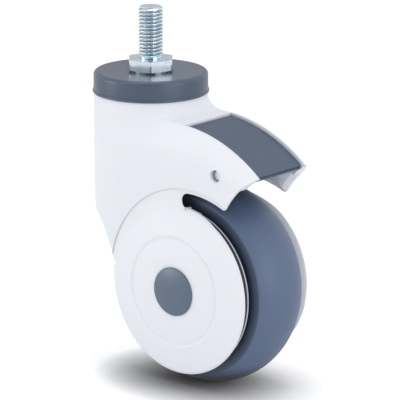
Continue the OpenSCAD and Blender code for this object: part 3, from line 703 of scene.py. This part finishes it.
def relieve_discs(points, lift):
    """Flattens the side discs and thins their edges from inside, so the guards show beside them.

    Outside the groove a disc's face rises by the lift for each millimetre of radius, and less
    towards the slot. The root that joins the disc to the cheek stays. Behind the face, the
    rings of points that end the disc's back, and the closed end of the slot, draw back from
    the edge: their distance from the axle or from the slot's middle is scaled.
    """
    x, y, z = points.T
    side, out = np.sign(y), np.abs(y)
    around = np.hypot(x - AXLE_X, z - AXLE_Z)
    slot = np.hypot(x - SLOT_X, z - SLOT_Z)
    root = FACE_OUT - FACE_DRAFT * (around - FACE_START)
    face = (around > GROOVE_R) & (around < DISC_R) & (out > FACE_IN) & (out < root)
    back = (out > BACK_LOW) & (out < BACK_HIGH)
    ring = back & (np.abs(around - BACK_R) < BACK_REACH)
    end = back & (slot < SLOT_REACH) & (x < SLOT_END_X)
    rise = side * lift * eased((slot - LIFT_START) / LIFT_LENGTH) * (around - GROOVE_R)
    points[face, 1] += rise[face]
    points[ring] = scaled_about(points[ring], AXLE_X, AXLE_Z, THIN_BACK_R / BACK_R)
    points[end] = scaled_about(points[end], SLOT_X, SLOT_Z, WIDE_SLOT_R / SLOT_R)
    return points


# How the skin is worked out, in millimetres: the edges that each round leaves unhalved, and
# the length under which only blended places are halved
HALVINGS, BLEND_ONLY = (40, 20, 10, 5, 5, 3, 2), 5
# How near the form its points lie, where the neck's fillet lies, the radius of the cheek's step
# and the least change that counts as a blend
ON_FORM, FILLET_IN, FILLET_OUT, FILLET_Z = 0.12, -0.05, 1.3, 120
STEP_R, LEAST_BLEND = 50.35, 0.003
# How often a point is drawn to the blended form, the step that finds the form's slope, the
# least slope squared that counts, and the farthest that a point may move
DRAWS, SLOPE_STEP, LEAST_SLOPE, FARTHEST = 6, 0.02, 0.2, 4


class CASTOR_OT_housing(bpy.types.Operator):
    """Makes the housing's skin: the solid's surface with neck, shoulders and cheeks run together"""
    bl_idname = "castor.housing"
    bl_label = "Housing"

    def execute(self, context):
        sizes = context.scene.castor_housing
        finish = context.scene.castor_finish
        points, faces = welded_triangles(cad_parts["housing"])

        def on_form(at):
            """Which points lie on the outer form, or on the fillet under the hood."""
            field, neck, hood = housing_field(at)
            fillet = ((np.minimum(neck, hood) > FILLET_IN) & (field < FILLET_OUT)
                      & (at[:, 2] > FILLET_Z))
            beyond_step = np.hypot(at[:, 0] - CHEEK_X, at[:, 2] - CHEEK_Z) > STEP_R
            return ((np.abs(field) < ON_FORM) | fillet) & beyond_step

        def blended(at):
            """Which points the rounding of the form would move."""
            return np.abs(housing_field(at, sizes)[0] - housing_field(at)[0]) > LEAST_BLEND

        for longest in HALVINGS + (sizes.finest / MM,) * 2:
            def chosen(edges):
                """Which edges lie on the form and are longer than this round leaves them."""
                start, end = points[edges[:, 0]], points[edges[:, 1]]
                middle = (start + end) / 2
                far = np.linalg.norm(end - start, axis=1) > longest
                if longest < BLEND_ONLY:
                    far &= blended(start) | blended(middle) | blended(end)
                far[far] = (on_form(start) & on_form(end) & on_form(middle))[far]
                return far
            points, faces = split_edges(points, faces, chosen)

        place = np.flatnonzero(on_form(points) & blended(points))
        moved = points[place]
        for draw in range(DRAWS):
            field = housing_field(moved, sizes)[0]
            slope = np.stack([
                (housing_field(moved + shift, sizes)[0] - housing_field(moved - shift, sizes)[0])
                / (2 * SLOPE_STEP) for shift in np.eye(3) * SLOPE_STEP], -1)
            steepness = np.maximum((slope * slope).sum(1), LEAST_SLOPE)
            moved = moved - (field / steepness)[:, None] * slope
        shift = moved - points[place]
        reach = np.linalg.norm(shift, axis=1)[:, None]
        points[place] += shift * np.minimum(1, FARTHEST / np.maximum(reach, 1e-9))

        points = relieve_discs(points, sizes.disc_lift) * MM + [0, 0, CAD_BOX[0][2]]
        rides(surface("housing_skin", [(points, [faces])], 24),
              "housing", "housing",
              moulded_plastic("spark_textured_white_nylon", finish.housing, 0.55, finish.grain,
                              0.02 * MM, finish.edge, spread=0.008, depth=4 * MM))
        return {"FINISHED"}


# Grid steps round the cap, a plug and a guard, and the width of a guard's painted rim highlight
CAP_STEPS, PLUG_STEPS, GUARD_STEPS = 192, 128, 256
PALE_EDGE = 0.22 * MM


def cap_profile(sizes):
    """Section of the swivel cap as radius and height, round its outside and under its roof.

    A quarter arc at the foot ends in a lip, the side stands a little further in, a quarter arc
    rounds its top, and the top sinks towards the stem by the dish times one less the cube of
    the radius as a share of the rim's. The cap is hollow up to its roof.
    """
    low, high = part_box("top_cap")
    edge, lip = sizes.rim_radius, 0.35 * MM
    side_r = high.x - 0.5 * MM
    lip_z = low.z + 1.1 * MM
    rim = arc(side_r - edge, high.z - edge, edge, 0, 90, 9)
    foot = arc(high.x - lip, low.z + lip, lip, -90, 0, 5)
    dish_r = np.linspace(side_r - edge - 0.5 * MM, 11 * MM, 12)
    share = (side_r - edge - dish_r) / (side_r - edge)
    dish_z = high.z - sizes.dish * (1 - (1 - share) ** 3)
    inner, bore, roof = 25.7 * MM, 9.75 * MM, low.z + 5.4 * MM
    r = ([inner] + foot[0] + [high.x, high.x - 0.15 * MM, side_r + 0.05 * MM]
         + rim[0] + dish_r.tolist() + [bore, bore, inner])
    z = ([low.z] + foot[1] + [lip_z - 0.25 * MM, lip_z, lip_z + 0.15 * MM]
         + rim[1] + dish_z.tolist() + [dish_z[-1], roof, roof])
    return r, z


class CASTOR_OT_cap(bpy.types.Operator):
    """Makes the swivel cap: a lip at the foot of its side, a rounded rim and a dished top"""
    bl_idname = "castor.cap"
    bl_label = "Swivel cap"

    def execute(self, context):
        finish = context.scene.castor_finish
        points = about_stem(*cap_profile(context.scene.castor_caps), CAP_STEPS)
        rides(surface("dished_swivel_cap", [shell(points, ring=True)]),
              "top_cap", "housing",
              moulded_plastic("spark_textured_slate_cap", finish.slate, 0.3, finish.grain,
                              0.04 * MM, finish.edge * 0.3))
        return {"FINISHED"}


def plug_profile(sizes):
    """Section of an axle plug as radius and width, from its bottom round to its dome.

    The dome is part of a ball through the plug's rim and its top, so the ball's radius is the
    squares of the rim's radius and the dome's height, added, over twice that height. Its
    height at a radius is the root of the ball's squared radius less that radius squared. A
    small arc rounds the rim, and a thin flange and a hub lie behind it.
    """
    low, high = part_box("axle_caps")
    rim = (high.x - low.x) / 2
    flange = high.y - 2.1 * MM
    edge = high.y - 1.4 * MM
    ball = (rim ** 2 + (high.y - edge) ** 2) / (2 * (high.y - edge))
    pole_r, hub_r, flange_r = 0.4 * MM, 7.7 * MM, 10.4 * MM
    hub_y, seat = 28.2 * MM, 24.0 * MM
    dome_r = np.linspace(rim - sizes.plug_edge, pole_r, 24)
    dome_y = high.y - ball + np.sqrt(ball ** 2 - dome_r ** 2)
    bend = arc(rim - sizes.plug_edge, dome_y[0] - sizes.plug_edge, sizes.plug_edge, 0, 84, 6)
    r = [pole_r, hub_r, hub_r, flange_r, flange_r, rim] + bend[0] + dome_r.tolist()
    y = [hub_y, hub_y, seat, seat, flange, flange] + bend[1] + dome_y.tolist()
    return r, y


class CASTOR_OT_plugs(bpy.types.Operator):
    """Makes the two domed plugs over the axle: a part of a ball on a flange and a hollow ring"""
    bl_idname = "castor.plugs"
    bl_label = "Axle plugs"

    def execute(self, context):
        finish = context.scene.castor_finish
        near = shell(about_axle(*plug_profile(context.scene.castor_caps), PLUG_STEPS))
        rides(surface("domed_axle_plugs", [near, mirrored(near)]),
              "axle_caps", "housing",
              moulded_plastic("spark_textured_slate_plug", finish.plug, 0.3, finish.grain,
                              0.03 * MM, finish.edge * 0.3))
        return {"FINISHED"}


def guard_profile(outer):
    """Section of a thread guard as radius and width: a disc with a half arc as its rim.

    The arc's middle lies half the disc's thickness inside the outer radius, and a collar
    stands at the bore.
    """
    half, middle = 0.65 * MM, 18.35 * MM
    bore_r, collar_r = 4.01 * MM, 7.01 * MM
    rim = arc(outer - half, middle, half, -90, 90, 13)
    r = [bore_r, collar_r, collar_r] + rim[0] + [collar_r, collar_r, bore_r]
    y = [17 * MM, 17 * MM, middle - half] + rim[1] + [middle + half, 20 * MM, 20 * MM]
    return r, y


class CASTOR_OT_guards(bpy.types.Operator):
    """Makes the two thin thread guards on collars, a highlight painted on each full round rim"""
    bl_idname = "castor.guards"
    bl_label = "Thread guards"

    def execute(self, context):
        finish = context.scene.castor_finish
        low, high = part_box("thread_guards")
        centre, outer = (low + high) / 2, (high.x - low.x) / 2
        near = shell(about_axle(*guard_profile(outer), GUARD_STEPS), ring=True)
        guards = surface("rimmed_thread_guards", [near, mirrored(near)])
        rides(guards, "thread_guards", "housing",
              moulded_plastic("polished_guard_plastic", finish.guard, 0.2, finish.grain,
                              0.01 * MM, finish.edge * 0.3))
        guards.data.materials.append(
            moulded_plastic("trimmed_pale_guard_edge", finish.guard_rim_highlight, 0.25, finish.grain,
                            0.01 * MM, finish.edge * 0.3))
        # The faces at the very rim take the pale material, a painted highlight
        middles = np.empty(len(guards.data.polygons) * 3, np.float32)
        guards.data.polygons.foreach_get("center", middles)
        x, y, z = middles.reshape(-1, 3).T
        pale = np.hypot(x - centre.x, z - centre.z) > outer - PALE_EDGE
        guards.data.polygons.foreach_set("material_index", pale.astype(np.int32))
        return {"FINISHED"}


class CASTOR_OT_mouldings(bpy.types.Operator):
    """Gives the slate grey cover and the wheel centre their moulded finish"""
    bl_idname = "castor.mouldings"
    bl_label = "Mouldings"

    def execute(self, context):
        finish = context.scene.castor_finish
        dress(["hood_cover"], moulded_plastic(
            "spark_textured_slate_cover", finish.slate, 0.45, finish.grain, 0.03 * MM,
            finish.edge * 0.5))
        dress(["wheel_centre"], moulded_plastic(
            "moulded_polypropylene", finish.core, 0.45, finish.grain, 0.02 * MM, finish.edge))
        return {"FINISHED"}


class CASTOR_OT_steelwork(bpy.types.Operator):
    """Gives the bearings, axle and swivel fastenings their steel finishes"""
    bl_idname = "castor.steelwork"
    bl_label = "Steelwork"

    def execute(self, context):
        finish = context.scene.castor_finish
        dress(["upper_inner_ring", "upper_outer_ring", "upper_balls", "lower_inner_ring",
               "lower_outer_ring", "lower_balls", "wheel_outer_rings", "wheel_inner_rings",
               "wheel_balls"], ground_steel("ground_bearing_steel", finish.bearing))
        dress(["swivel_spacer", "swivel_washer", "swivel_nut", "axle_spacer", "axle_bolt",
               "axle_nut", "cover_pin"],
              zinc_plated_steel("zinc_plated_turned_steel", finish.zinc, finish.zinc_tint))
        return {"FINISHED"}


# Studio

# The floor's rings in metres, its soft boxes' places and widths, and the point they face
FLOOR_RINGS, FLOOR_THICKNESS = [0.5, 3.0, 6.0], 0.01
LIT_POINT = (0.03, 0, -0.06)
SOFT_BOXES = {
    "key": ((0.0, 0.1, 1.3), 0.9),
    "front": ((-0.3, -1.3, 0.9), 0.9),
    "side": ((-1.1, -1.15, 0.05), 0.7),
    "fill": ((1.45, -0.1, 0.2), 0.9),
}
# How the search that draws the painted shadow on the floor leans, and how far it reaches
SHADOW_LEAN = {"X": 0.4, "Y": 0.34, "Z": 0.85}
SHADOW_REACH = 30 * MM
# The tent's two dark parts: a direction of the room, and how squarely one looks along it where
# the wall begins to darken and where it is darkest
OPENING = ((0.66, -0.74, 0.0), 0.6, 0.95)
SEAM = ((-0.6, 0.68, 0.42), 0.8, 0.93)


def white_floor_material():
    """White paper: matt for the light it sends back, and lifted to white where the camera sees it.

    Where the castor stands close over the paper, the colour that the camera sees is painted
    darker and the lift fades: a painted shadow on top of the one the lamps cast. The search for
    what stands close leans away from the left, where the painted shadow falls.
    """
    material, tree = new_material("white_paper_floor")
    path = add_node(tree, "ShaderNodeLightPath")
    lean = add_node(tree, "ShaderNodeCombineXYZ", None, SHADOW_LEAN)
    shade = add_node(tree, "ShaderNodeAmbientOcclusion", {"Normal": lean.outputs[0]},
                     {"Distance": SHADOW_REACH}, samples=16)
    depth = add_node(tree, "ShaderNodeMath", {0: shade.outputs["AO"]}, {1: 1.5}, operation="POWER")
    matt = add_node(tree, "ShaderNodeBsdfDiffuse", None, {"Color": (0.9, 0.9, 0.9, 1)})
    # Painted shadow: the colour the camera sees runs from near black to white paper as the air
    # opens
    tone = add_node(tree, "ShaderNodeMix", {"Factor": depth.outputs[0]}, data_type="RGBA")
    tone.inputs["A"].default_value = (0.1, 0.1, 0.11, 1)
    tone.inputs["B"].default_value = (0.9, 0.9, 0.9, 1)
    seen = add_node(tree, "ShaderNodeBsdfDiffuse", {"Color": tone.outputs["Result"]})
    # The lift to white also fades in the painted shadow
    lift = add_node(tree, "ShaderNodeMapRange", {"Value": depth.outputs[0]},
                    {"To Min": 0.0, "To Max": 0.3})
    glow = add_node(tree, "ShaderNodeEmission", {"Strength": lift.outputs["Result"]},
                    {"Color": (1, 1, 1, 1)})
    shown = add_node(tree, "ShaderNodeAddShader", {0: seen.outputs[0], 1: glow.outputs[0]})
    mixed = add_node(tree, "ShaderNodeMixShader",
                     {"Fac": path.outputs["Is Camera Ray"], 1: matt.outputs[0],
                      2: shown.outputs[0]})
    finish_surface(tree, mixed)
    return material


def soft_light(name, place, aim, width, power):
    """Puts up a square soft box that faces a point."""
    light = bpy.data.lights.new(name, "AREA")
    light.shape = "SQUARE"
    light.size = width
    light.energy = power
    obj = bpy.data.objects.new(name, light)
    obj.location = place
    obj.rotation_mode = "QUATERNION"
    obj.rotation_quaternion = (Vector(aim) - Vector(place)).to_track_quat("-Z", "Y")
    bpy.context.scene.collection.objects.link(obj)


def tent_world(sizes):
    """A light tent with white walls that is open towards the front of the room.

    The opening, and a shaded part at the back, are what bright steel and satin plastic show as
    darker bands between light ones. They lie in fixed directions of the room. To the camera
    the tent itself is plain white.
    """
    world = bpy.data.worlds.new("light_tent")
    world.use_nodes = True
    tree = world.node_tree
    tree.nodes.clear()
    path = add_node(tree, "ShaderNodeLightPath")
    place = add_node(tree, "ShaderNodeTexCoord")
    walls = None
    for line, start, end, dark in ((*OPENING, sizes.opening), (*SEAM, sizes.seam)):
        along = add_node(tree, "ShaderNodeVectorMath", {0: place.outputs["Generated"]},
                         operation="DOT_PRODUCT")
        along.inputs[1].default_value = Vector(line).normalized()
        wall = add_node(tree, "ShaderNodeMapRange", {"Value": along.outputs["Value"]},
                        {"From Min": start, "From Max": end, "To Min": 1.0, "To Max": dark},
                        interpolation_type="SMOOTHSTEP")
        walls = wall if walls is None else add_node(
            tree, "ShaderNodeMath", {0: walls.outputs[0], 1: wall.outputs["Result"]},
            operation="MULTIPLY")
    lit = add_node(tree, "ShaderNodeMix",
                   {"Factor": path.outputs["Is Glossy Ray"], "B": walls.outputs[0]},
                   {"A": sizes.tent}, data_type="FLOAT")
    seen = add_node(tree, "ShaderNodeMath",
                    {0: lit.outputs["Result"], 1: path.outputs["Is Camera Ray"]},
                    operation="MAXIMUM")
    air = add_node(tree, "ShaderNodeBackground", {"Strength": seen.outputs[0]},
                   {"Color": (1, 1, 1, 1)})
    add_node(tree, "ShaderNodeOutputWorld", {"Surface": air.outputs[0]})
    return world


class CASTOR_OT_studio(bpy.types.Operator):
    """Makes the floor, the soft lights, the world and the camera"""
    bl_idname = "castor.studio"
    bl_label = "Studio"

    def execute(self, context):
        scene = context.scene
        sizes = scene.castor_studio
        floor_z = CAD_BOX[0][2]
        rows = len(FLOOR_RINGS)
        floor = surface("paper_floor", [shell(about_stem(
            FLOOR_RINGS + FLOOR_RINGS[::-1],
            [floor_z - FLOOR_THICKNESS] * rows + [floor_z] * rows, 64))])
        floor.data.materials.append(white_floor_material())

        for name, (place, width) in SOFT_BOXES.items():
            soft_light(name + "_light", place, LIT_POINT, width, getattr(sizes, name + "_power"))

        scene.world = tent_world(sizes)

        camera = bpy.data.objects.new("camera", bpy.data.cameras.new("camera"))
        camera.data.lens = sizes.lens
        camera.data.sensor_width = 36
        camera.data.clip_end = 20
        camera.location = sizes.camera_place
        ahead = Vector((-math.sin(sizes.yaw) * math.cos(sizes.pitch),
                        math.cos(sizes.yaw) * math.cos(sizes.pitch), -math.sin(sizes.pitch)))
        camera.rotation_mode = "QUATERNION"
        camera.rotation_quaternion = ahead.to_track_quat("-Z", "Y")
        scene.collection.objects.link(camera)
        scene.camera = camera
        scene.view_settings.view_transform = "Standard"
        return {"FINISHED"}


STEPS = (CASTOR_OT_stem, CASTOR_OT_tyre, CASTOR_OT_housing, CASTOR_OT_cap, CASTOR_OT_plugs,
         CASTOR_OT_guards, CASTOR_OT_mouldings, CASTOR_OT_steelwork, CASTOR_OT_studio)


GROUPS = {
    "Stem": ("castor_stem", StemSizes),
    "Tyre": ("castor_tyre", TyreSizes),
    "Housing": ("castor_housing", HousingSizes),
    "Caps": ("castor_caps", CapSizes),
    "Finish": ("castor_finish", CastorFinish),
    "Studio": ("castor_studio", StudioSizes),
}


class CASTOR_PT_panel(bpy.types.Panel):
    """Lists the sizes and the steps of the castor"""
    bl_idname = "CASTOR_PT_panel"
    bl_label = "Threaded stem castor"
    bl_space_type = "VIEW_3D"
    bl_region_type = "UI"
    bl_category = "Castor"

    def draw(self, context):
        layout = self.layout
        for title, group in GROUPS.items():
            column = layout.box().column(align=True)
            column.label(text=title)
            settings = getattr(context.scene, group[0])
            for prop in settings.bl_rna.properties:
                if prop.identifier not in {"rna_type", "name"}:
                    column.prop(settings, prop.identifier)
        for step in STEPS:
            layout.operator(step.bl_idname)


def register():
    """Registers the groups of settings, the operators and the panel."""
    for attribute, group in GROUPS.values():
        bpy.utils.register_class(group)
        setattr(bpy.types.Scene, attribute, PointerProperty(type=group))
    for step in STEPS:
        bpy.utils.register_class(step)
    bpy.utils.register_class(CASTOR_PT_panel)


def unregister():
    """Takes the panel, the operators and the groups of settings out again."""
    bpy.utils.unregister_class(CASTOR_PT_panel)
    for step in reversed(STEPS):
        bpy.utils.unregister_class(step)
    for attribute, group in GROUPS.values():
        delattr(bpy.types.Scene, attribute)
        bpy.utils.unregister_class(group)


def main():
    register()
    bpy.ops.castor.stem()
    bpy.ops.castor.tyre()
    bpy.ops.castor.housing()
    bpy.ops.castor.cap()
    bpy.ops.castor.plugs()
    bpy.ops.castor.guards()
    bpy.ops.castor.mouldings()
    bpy.ops.castor.steelwork()
    bpy.ops.castor.studio()


if __name__ == "__main__":
    main()
